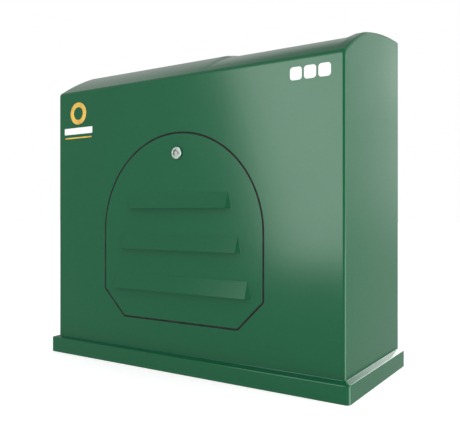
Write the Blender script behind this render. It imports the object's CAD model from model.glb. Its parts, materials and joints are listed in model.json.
"""Looks of the outdoor gas meter housing: materials, small mesh details, studio and camera."""

import json
import math

import bpy
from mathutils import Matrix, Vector


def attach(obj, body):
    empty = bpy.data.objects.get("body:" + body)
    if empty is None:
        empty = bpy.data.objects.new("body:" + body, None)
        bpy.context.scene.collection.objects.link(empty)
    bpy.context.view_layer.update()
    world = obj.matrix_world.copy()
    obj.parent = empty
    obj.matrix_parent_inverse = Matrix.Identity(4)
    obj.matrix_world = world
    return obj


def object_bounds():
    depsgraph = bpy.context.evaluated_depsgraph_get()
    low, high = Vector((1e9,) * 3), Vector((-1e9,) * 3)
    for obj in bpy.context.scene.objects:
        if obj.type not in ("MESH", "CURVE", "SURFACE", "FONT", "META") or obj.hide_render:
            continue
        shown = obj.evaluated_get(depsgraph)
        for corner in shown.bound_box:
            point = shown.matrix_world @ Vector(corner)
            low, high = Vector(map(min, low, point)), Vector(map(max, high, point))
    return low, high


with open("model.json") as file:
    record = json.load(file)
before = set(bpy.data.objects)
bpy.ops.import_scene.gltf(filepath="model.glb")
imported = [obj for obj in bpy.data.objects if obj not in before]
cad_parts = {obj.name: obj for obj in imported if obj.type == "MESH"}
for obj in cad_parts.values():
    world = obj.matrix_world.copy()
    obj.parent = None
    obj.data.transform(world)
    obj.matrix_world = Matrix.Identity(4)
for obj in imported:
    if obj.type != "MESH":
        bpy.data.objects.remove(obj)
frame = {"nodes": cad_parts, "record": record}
cad_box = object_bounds()

# Camera, low in front and to the right; metres and degrees
CAMERA_PLACE = (0.7536, -1.1153, 0.3304)
CAMERA_TURN = 32.884
CAMERA_LENS = 46.10
SENSOR_WIDTH = 36.0
CAMERA_SHIFT_Y = -0.0085

# Colours, as linear red, green and blue
GREEN = (0.0062, 0.097, 0.0400)
GREEN_DEEP = (0.0057, 0.093, 0.0382)
GREEN_INSIDE = (0.035, 0.100, 0.062)
FIBRE = (0.115, 0.205, 0.150)
RUBBER = (0.012, 0.010, 0.010)
RUBBER_DUST = (0.028, 0.025, 0.024)
ZINC = (0.60, 0.62, 0.64)
ZINC_TINT = (0.66, 0.62, 0.50)
STEEL = (0.58, 0.58, 0.59)
CHROME = (0.66, 0.77, 0.71)
CHROME_DULL = (0.56, 0.67, 0.61)
CHROME_GRAIN = 1800.0
GOLD_LIGHT = (0.88, 0.58, 0.09)
GOLD_DARK = (0.50, 0.25, 0.015)
WHITE = (0.90, 0.92, 0.91)
WHITE_WORN = (0.80, 0.83, 0.81)
FLOOR = (0.90, 0.90, 0.90)
FLOOR_SHADE = 0.985
FLOOR_GLOW = 0.40
FLOOR_SIZE = 40.0

# Green moulding: roughness of its gloss and what the inside adds to it, scales of its patterns per metre,
# and depths of its bumps in metres
GLOSS = (0.150, 0.170)
INSIDE_ROUGHER = 0.45
GEL_TINT = (0.87, 1.0, 0.91, 1.0)
GEL_IOR = 1.5
TONE_SCALE = 3.2
FLECK_SCALE = 420.0
FLECK_BUMP = 0.00002
PEEL_SCALE = 160.0
PEEL_BUMP = 0.00004
STRAND_LONG = 60.0
STRAND_FINE = 420.0
STRAND_BUMP = 0.0012
INSIDE_LIMIT = -0.004

# Light panels of the glossy room: name, limits round from the front in degrees (right is positive),
# limits of the tangent of elevation, softness of those four edges, brightness, sideways lean in degrees
PANELS = (
    ("front wall", (-105.0, -15.0), (-3.0, 2.8), ((12.0, 1.5), (0.5, 1.0)), 0.19, 0.0),
    ("front soft box", (-26.4, -8.0), (-0.045, 0.46), ((1.5, 1.0), (0.03, 0.05)), 4.30, 13.0),
    ("front glow", (-35.0, -10.0), (0.42, 0.90), ((3.5, 1.0), (0.05, 0.25)), 1.10, 0.0),
    ("front right wall", (-15.0, 66.0), (-3.0, 0.10), ((1.5, 4.0), (0.5, 0.1)), 0.12, 0.0),
    ("right soft box", (99.0, 132.0), (0.00, 0.42), ((4.0, 5.0), (0.03, 0.1)), 3.6, 0.0),
    ("low right soft box", (72.0, 126.0), (-0.50, 0.00), ((5.0, 5.0), (0.1, 0.03)), 3.8, 0.0),
    ("rear right wall", (137.0, 175.0), (-3.0, 1.4), ((10.0, 4.0), (0.5, 0.3)), 0.28, 0.0),
    ("rear right glow", (150.0, 172.0), (0.05, 1.1), ((9.0, 6.0), (0.12, 0.3)), 0.26, 0.0),
    ("rear halo", (161.0, 178.0), (0.06, 0.40), ((4.0, 3.0), (0.13, 0.10)), 0.50, 0.0),
    ("rear lamp", (165.5, 179.9), (0.28, 0.54), ((1.5, 0.1), (0.04, 0.06)), 5.6, 0.0),
    ("rear lamp, left side", (-179.9, -171.0), (0.28, 0.54), ((0.1, 9.0), (0.04, 0.06)), 5.6, 0.0),
    ("rear left wall", (-179.0, -108.0), (-3.0, 0.95), ((0.5, 10.0), (0.5, 0.14)), 0.30, 0.0),
)
ROOM_BASE = 0.22
ROOM_RADIUS = 6.0

# Broad light on the right end
FILL_PLACE = (2.6, 0.2, 1.0)
FILL_SIZE = (3.0, 3.0)
FILL_RADIANCE = 1.5

# Soft fin on the rubber strip that closes the hatch's joint; metres, measured from the middle of the joint
HATCH_X = -0.005
HATCH_HALF_W = 0.206
HATCH_BOTTOM_Z = 0.104
HATCH_ARCH_Z = 0.293
HATCH_CHAMFER = 0.058
FIN_INNER = 0.0014
FIN_OUTER = 0.00197
FIN_SET_BACK = 0.00025
FIN_T = 0.0006
FIN_EDGE = 0.00015
FACE_Y = -0.1445
ARCH_STEPS = 120


# Shader helpers
def new_material(name):
    """Empty procedural material: returns it, its tree and its shader."""
    made = bpy.data.materials.new(name)
    made.use_nodes = True
    return made, made.node_tree, made.node_tree.nodes["Principled BSDF"]


def node(tree, kind, settings=None, **inputs):
    """Add a node. Inputs are values or sockets, by name with _ for a space, or as slot0, slot1, slot2."""
    made = tree.nodes.new(kind)
    for key, value in (settings or {}).items():
        setattr(made, key, value)
    for key, value in inputs.items():
        name = int(key[4:]) if key.startswith("slot") else key.replace("_", " ")
        socket = made.inputs[name]
        if isinstance(value, bpy.types.NodeSocket):
            tree.links.new(value, socket)
        else:
            socket.default_value = value
    return made


def own_space(tree):
    """Coordinates that stay with the piece."""
    return node(tree, "ShaderNodeTexCoord")


def noise(tree, place, scale, detail=2.0, roughness=0.5):
    """Soft random pattern, 0 to 1."""
    look = {"Scale": scale, "Detail": detail, "Roughness": roughness}
    made = node(tree, "ShaderNodeTexNoise", None, Vector=place, **look)
    return made.outputs["Factor"] if "Factor" in made.outputs else made.outputs["Fac"]


def stretched(tree, place, scale):
    """Coordinates scaled unevenly, for grain and brushing."""
    return node(tree, "ShaderNodeMapping", None, Vector=place, Scale=scale).outputs[0]


def maths(tree, operation, first, second=0.0, third=0.0):
    """One arithmetic node."""
    settings = {"operation": operation}
    return node(tree, "ShaderNodeMath", settings, slot0=first, slot1=second, slot2=third).outputs[0]


def remap(tree, value, low, high, to_low, to_high):
    """Linear change of range, clamped."""
    made = node(tree, "ShaderNodeMapRange", None, Value=value, From_Min=low, From_Max=high)
    made.inputs["To Min"].default_value = to_low
    made.inputs["To Max"].default_value = to_high
    return made.outputs[0]


def mixed(tree, share, first, second):
    """Mix of two colours, each a tuple or a socket."""
    made = node(tree, "ShaderNodeMix", {"data_type": "RGBA"}, Factor=share)
    for slot, value in ((6, first), (7, second)):
        if isinstance(value, bpy.types.NodeSocket):
            tree.links.new(value, made.inputs[slot])
        else:
            made.inputs[slot].default_value = (*value, 1.0)
    return made.outputs[2]


def bumped(tree, height, distance, strength, under=None):
    """Bump from a height pattern, over another bump if given."""
    made = node(tree, "ShaderNodeBump", None, Height=height, Distance=distance, Strength=strength)
    if under is not None:
        tree.links.new(under, made.inputs["Normal"])
    return made.outputs[0]


def connect(tree, shader, **inputs):
    """Link sockets or set plain values on a shader."""
    for key, value in inputs.items():
        socket = shader.inputs[key.replace("_", " ")]
        if isinstance(value, bpy.types.NodeSocket):
            tree.links.new(value, socket)
        else:
            socket.default_value = value


# Materials
def inside_share(tree, space):
    """1 on faces that look towards the middle of the cover, 0 on its outside."""
    low, high = cad_box
    middle = ((low[0] + high[0]) / 2, (low[1] + high[1]) / 2, low[2] - (high[2] - low[2]) / 7)
    away = node(tree, "ShaderNodeVectorMath", {"operation": "SUBTRACT"}, slot0=space.outputs["Object"])
    away.inputs[1].default_value = middle
    facing = node(tree, "ShaderNodeVectorMath", {"operation": "DOT_PRODUCT"}, slot0=away.outputs[0])
    tree.links.new(space.outputs["Normal"], facing.inputs[1])
    return maths(tree, "LESS_THAN", facing.outputs["Value"], INSIDE_LIMIT)


def moulded_green():
    """Gel-coated glass-reinforced plastic: glossy orange peel outside, laid fibre inside."""
    made, tree, shader = new_material("moulded_green")
    space = own_space(tree)
    place = space.outputs["Object"]
    inside = inside_share(tree, space)
    tone = noise(tree, place, TONE_SCALE, 4.0)
    fleck = noise(tree, place, FLECK_SCALE, 2.0)
    outer = mixed(tree, remap(tree, tone, 0.3, 0.7, 0.0, 1.0), GREEN, GREEN_DEEP)
    along = stretched(tree, place, (STRAND_LONG, STRAND_FINE, STRAND_FINE))
    upright = stretched(tree, place, (STRAND_FINE, STRAND_FINE, STRAND_LONG))
    strand_a = noise(tree, along, 1.0, 3.0, 0.7)
    strand_b = noise(tree, upright, 1.0, 3.0, 0.7)
    strands = maths(tree, "MAXIMUM", strand_a, strand_b)
    inner = mixed(tree, remap(tree, strands, 0.55, 0.75, 0.0, 0.8), GREEN_INSIDE, FIBRE)
    colour = mixed(tree, inside, outer, inner)
    smooth = remap(tree, noise(tree, place, 14.0, 3.0), 0.3, 0.7, *GLOSS)
    rough = maths(tree, "ADD", smooth, maths(tree, "MULTIPLY", inside, INSIDE_ROUGHER))
    peel = bumped(tree, noise(tree, place, PEEL_SCALE, 2.0), PEEL_BUMP, 0.10)
    peel = bumped(tree, fleck, FLECK_BUMP, 0.08, peel)
    weave = maths(tree, "MULTIPLY", strands, inside)
    normal = bumped(tree, weave, STRAND_BUMP, 0.6, peel)
    connect(tree, shader, Base_Color=colour, Roughness=rough, Normal=normal)
    connect(tree, shader, IOR=GEL_IOR, Specular_Tint=GEL_TINT)
    return made


def black_rubber():
    """Matt extruded rubber, dusty in patches."""
    made, tree, shader = new_material("black_rubber")
    place = own_space(tree).outputs["Object"]
    dust = noise(tree, place, 55.0, 5.0, 0.65)
    grain = noise(tree, place, 1400.0, 2.0)
    colour = mixed(tree, remap(tree, dust, 0.45, 0.75, 0.0, 1.0), RUBBER, RUBBER_DUST)
    rough = remap(tree, grain, 0.3, 0.7, 0.60, 0.78)
    normal = bumped(tree, grain, 0.0002, 0.35)
    connect(tree, shader, Base_Color=colour, Roughness=rough, Normal=normal, Specular_IOR_Level=0.25)
    return made


def plated(name, main, second, spots, rough_low, rough_high, grain_scale):
    """Metal with cloudy plating and fine grain along X."""
    made, tree, shader = new_material(name)
    place = own_space(tree).outputs["Object"]
    cloud = noise(tree, place, spots, 4.0, 0.6)
    grain = noise(tree, stretched(tree, place, grain_scale), 1.0, 3.0)
    colour = mixed(tree, remap(tree, cloud, 0.35, 0.7, 0.0, 1.0), main, second)
    rough = remap(tree, grain, 0.25, 0.75, rough_low, rough_high)
    normal = bumped(tree, grain, 0.00008, 0.4)
    connect(tree, shader, Base_Color=colour, Roughness=rough, Normal=normal, Metallic=1.0)
    return made


def vinyl(name, light, dark, scale):
    """Thin printed film with slight unevenness of ink and gloss."""
    made, tree, shader = new_material(name)
    place = own_space(tree).outputs["Object"]
    ink = noise(tree, place, scale, 3.0)
    speck = noise(tree, place, 900.0, 2.0)
    colour = mixed(tree, remap(tree, ink, 0.3, 0.7, 0.0, 1.0), light, dark)
    rough = remap(tree, speck, 0.3, 0.7, 0.38, 0.5)
    normal = bumped(tree, speck, 0.00005, 0.2)
    connect(tree, shader, Base_Color=colour, Roughness=rough, Normal=normal)
    return made


def pale_floor():
    """Plain matt studio floor."""
    made, tree, shader = new_material("pale_floor")
    place = own_space(tree).outputs["Object"]
    tone = noise(tree, place, 2.0, 3.0)
    colour = mixed(tree, tone, FLOOR, tuple(FLOOR_SHADE * c for c in FLOOR))
    connect(tree, shader, Base_Color=colour, Roughness=0.9)
    connect(tree, shader, Emission_Color=(1.0, 1.0, 1.0, 1.0), Emission_Strength=FLOOR_GLOW)
    return made


def paint_cad():
    """Give every CAD node the material of its slot in the record."""
    looks = {
        "green_grp": moulded_green(),
        "zinc_steel": plated("zinc_plate", ZINC, ZINC_TINT, 60.0, 0.28, 0.48, (90.0, 900.0, 900.0)),
        "stainless": plated("stainless", STEEL, STEEL, 40.0, 0.22, 0.42, (80.0, 1600.0, 1600.0)),
        "lock_chrome": plated("satin_chrome", CHROME, CHROME_DULL, 120.0, 0.20, 0.30, (CHROME_GRAIN,) * 3),
        "black_rubber": black_rubber(),
        "gold_transfer": vinyl("gold_film", GOLD_LIGHT, GOLD_DARK, 28.0),
        "white_transfer": vinyl("white_film", WHITE, WHITE_WORN, 40.0),
    }
    for part in frame["record"]["subparts"]:
        thing = frame["nodes"][part["node"]]
        thing.data.materials.clear()
        thing.data.materials.append(looks[part["material_slot"]])
    return looks


# Small pieces
def hatch_loop(grow, y):
    """Points of the hatch's outline, grown sideways by a distance, at one depth."""
    half = HATCH_HALF_W + grow
    mitre = grow * math.tan(math.radians(22.5))
    low = HATCH_BOTTOM_Z - grow
    side_z = HATCH_BOTTOM_Z + HATCH_CHAMFER - mitre
    foot_x = HATCH_HALF_W - HATCH_CHAMFER + mitre
    loop = []
    for step in range(ARCH_STEPS + 1):
        turn = math.pi * step / ARCH_STEPS
        loop.append((HATCH_X + half * math.cos(turn), y, HATCH_ARCH_Z + half * math.sin(turn)))
    loop += [(HATCH_X - half, y, side_z), (HATCH_X - foot_x, y, low)]
    return loop + [(HATCH_X + foot_x, y, low), (HATCH_X + half, y, side_z)]


def seal_fin(look):
    """Thin rubber fin that presses against the opening's edge and closes the joint."""
    edge = ((FIN_INNER, 0.0), (FIN_OUTER, FIN_EDGE), (FIN_OUTER, FIN_T - FIN_EDGE), (FIN_INNER, FIN_T))
    rows = [hatch_loop(grow, FACE_Y + FIN_SET_BACK + depth) for grow, depth in edge]
    count = len(rows[0])
    faces = []
    for row in range(len(rows)):
        for step in range(count):
            here, there = row * count, (row + 1) % len(rows) * count
            after = (step + 1) % count
            faces.append((here + step, here + after, there + after, there + step))
    mesh = bpy.data.meshes.new("seal_fin")
    mesh.from_pydata([point for row in rows for point in row], [], faces)
    mesh.update()
    made = bpy.data.objects.new("seal_fin", mesh)
    made.data.materials.append(look)
    bpy.context.scene.collection.objects.link(made)
    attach(made, "hatch")


# Studio
def floor():
    """Pale floor under the object, not part of it."""
    bpy.ops.mesh.primitive_plane_add(size=FLOOR_SIZE, location=(0.0, 0.0, cad_box[0][2]))
    made = bpy.context.object
    made.name = "floor"
    made.data.materials.append(pale_floor())
    made.visible_glossy = False


def window(tree, value, low, high, soft_low, soft_high):
    """1 between two limits and 0 outside them, with soft edges."""
    rise = node(tree, "ShaderNodeMapRange", {"interpolation_type": "SMOOTHSTEP"}, Value=value)
    rise.inputs["From Min"].default_value = low - soft_low
    rise.inputs["From Max"].default_value = low + soft_low
    fall = node(tree, "ShaderNodeMapRange", {"interpolation_type": "SMOOTHSTEP"}, Value=value)
    fall.inputs["From Min"].default_value = high - soft_high
    fall.inputs["From Max"].default_value = high + soft_high
    return maths(tree, "SUBTRACT", rise.outputs[0], fall.outputs[0])


def panel_glow(tree, around, up, panel):
    """Brightness of one light panel of the room by direction."""
    _, turns, rises, soft, radiance, lean = panel
    leaned = maths(tree, "MULTIPLY_ADD", up, math.radians(lean), around)
    limits = [math.radians(turn) for turn in turns]
    blurs = [math.radians(turn) for turn in soft[0]]
    wide = window(tree, leaned, *limits, *blurs)
    tall = window(tree, up, *rises, *soft[1])
    return maths(tree, "MULTIPLY", maths(tree, "MULTIPLY", wide, tall), radiance)


def room_glow():
    """Emission of the room: dim walls and a few soft panels, placed by direction from the object."""
    made = bpy.data.materials.new("room_glow")
    made.use_nodes = True
    tree = made.node_tree
    tree.nodes.clear()
    place = node(tree, "ShaderNodeSeparateXYZ", None, Vector=own_space(tree).outputs["Object"])
    x, y, z = place.outputs
    around = maths(tree, "ARCTAN2", x, maths(tree, "MULTIPLY", y, -1.0))
    square = maths(tree, "ADD", maths(tree, "MULTIPLY", x, x), maths(tree, "MULTIPLY", y, y))
    level = maths(tree, "SQRT", square)
    up = maths(tree, "DIVIDE", z, level)
    glow = ROOM_BASE
    for panel in PANELS:
        glow = maths(tree, "ADD", glow, panel_glow(tree, around, up, panel))
    light = node(tree, "ShaderNodeEmission", None, Strength=glow)
    out = node(tree, "ShaderNodeOutputMaterial")
    tree.links.new(light.outputs[0], out.inputs["Surface"])
    return made


def glossy_room():
    """Sphere round the scene that shows only in gloss, as a studio's panels do."""
    bpy.ops.mesh.primitive_uv_sphere_add(segments=96, ring_count=48, radius=ROOM_RADIUS)
    made = bpy.context.object
    made.name = "glossy_room"
    made.data.materials.append(room_glow())
    made.visible_camera = False
    made.visible_diffuse = False
    made.visible_shadow = False
    made.visible_transmission = False


def studio():
    """White surroundings that light the piece evenly."""
    world = bpy.data.worlds.new("white_room")
    world.use_nodes = True
    world.node_tree.nodes["Background"].inputs["Color"].default_value = (1.0, 1.0, 1.0, 1.0)
    world.node_tree.nodes["Background"].inputs["Strength"].default_value = 1.0
    world.cycles_visibility.glossy = False
    bpy.context.scene.world = world
    lamp = bpy.data.lights.new("right_fill", "AREA")
    lamp.shape = "RECTANGLE"
    lamp.size, lamp.size_y = FILL_SIZE
    lamp.energy = FILL_RADIANCE * math.pi * FILL_SIZE[0] * FILL_SIZE[1]
    made = bpy.data.objects.new("right_fill", lamp)
    made.location = FILL_PLACE
    made.rotation_euler = (-Vector(FILL_PLACE)).to_track_quat("-Z", "Y").to_euler()
    made.visible_camera = False
    made.visible_glossy = False
    bpy.context.scene.collection.objects.link(made)


def camera():
    """Camera at the viewing angle of the reference view."""
    made = bpy.data.objects.new("camera", bpy.data.cameras.new("camera"))
    made.data.lens = CAMERA_LENS
    made.data.sensor_width = SENSOR_WIDTH
    made.data.shift_y = CAMERA_SHIFT_Y
    made.location = CAMERA_PLACE
    made.rotation_euler = (math.radians(90.0), 0.0, math.radians(CAMERA_TURN))
    bpy.context.scene.collection.objects.link(made)
    bpy.context.scene.camera = made


camera()
looks = paint_cad()
seal_fin(looks["black_rubber"])
floor()
glossy_room()
studio()
bpy.context.scene.view_settings.view_transform = "Standard"
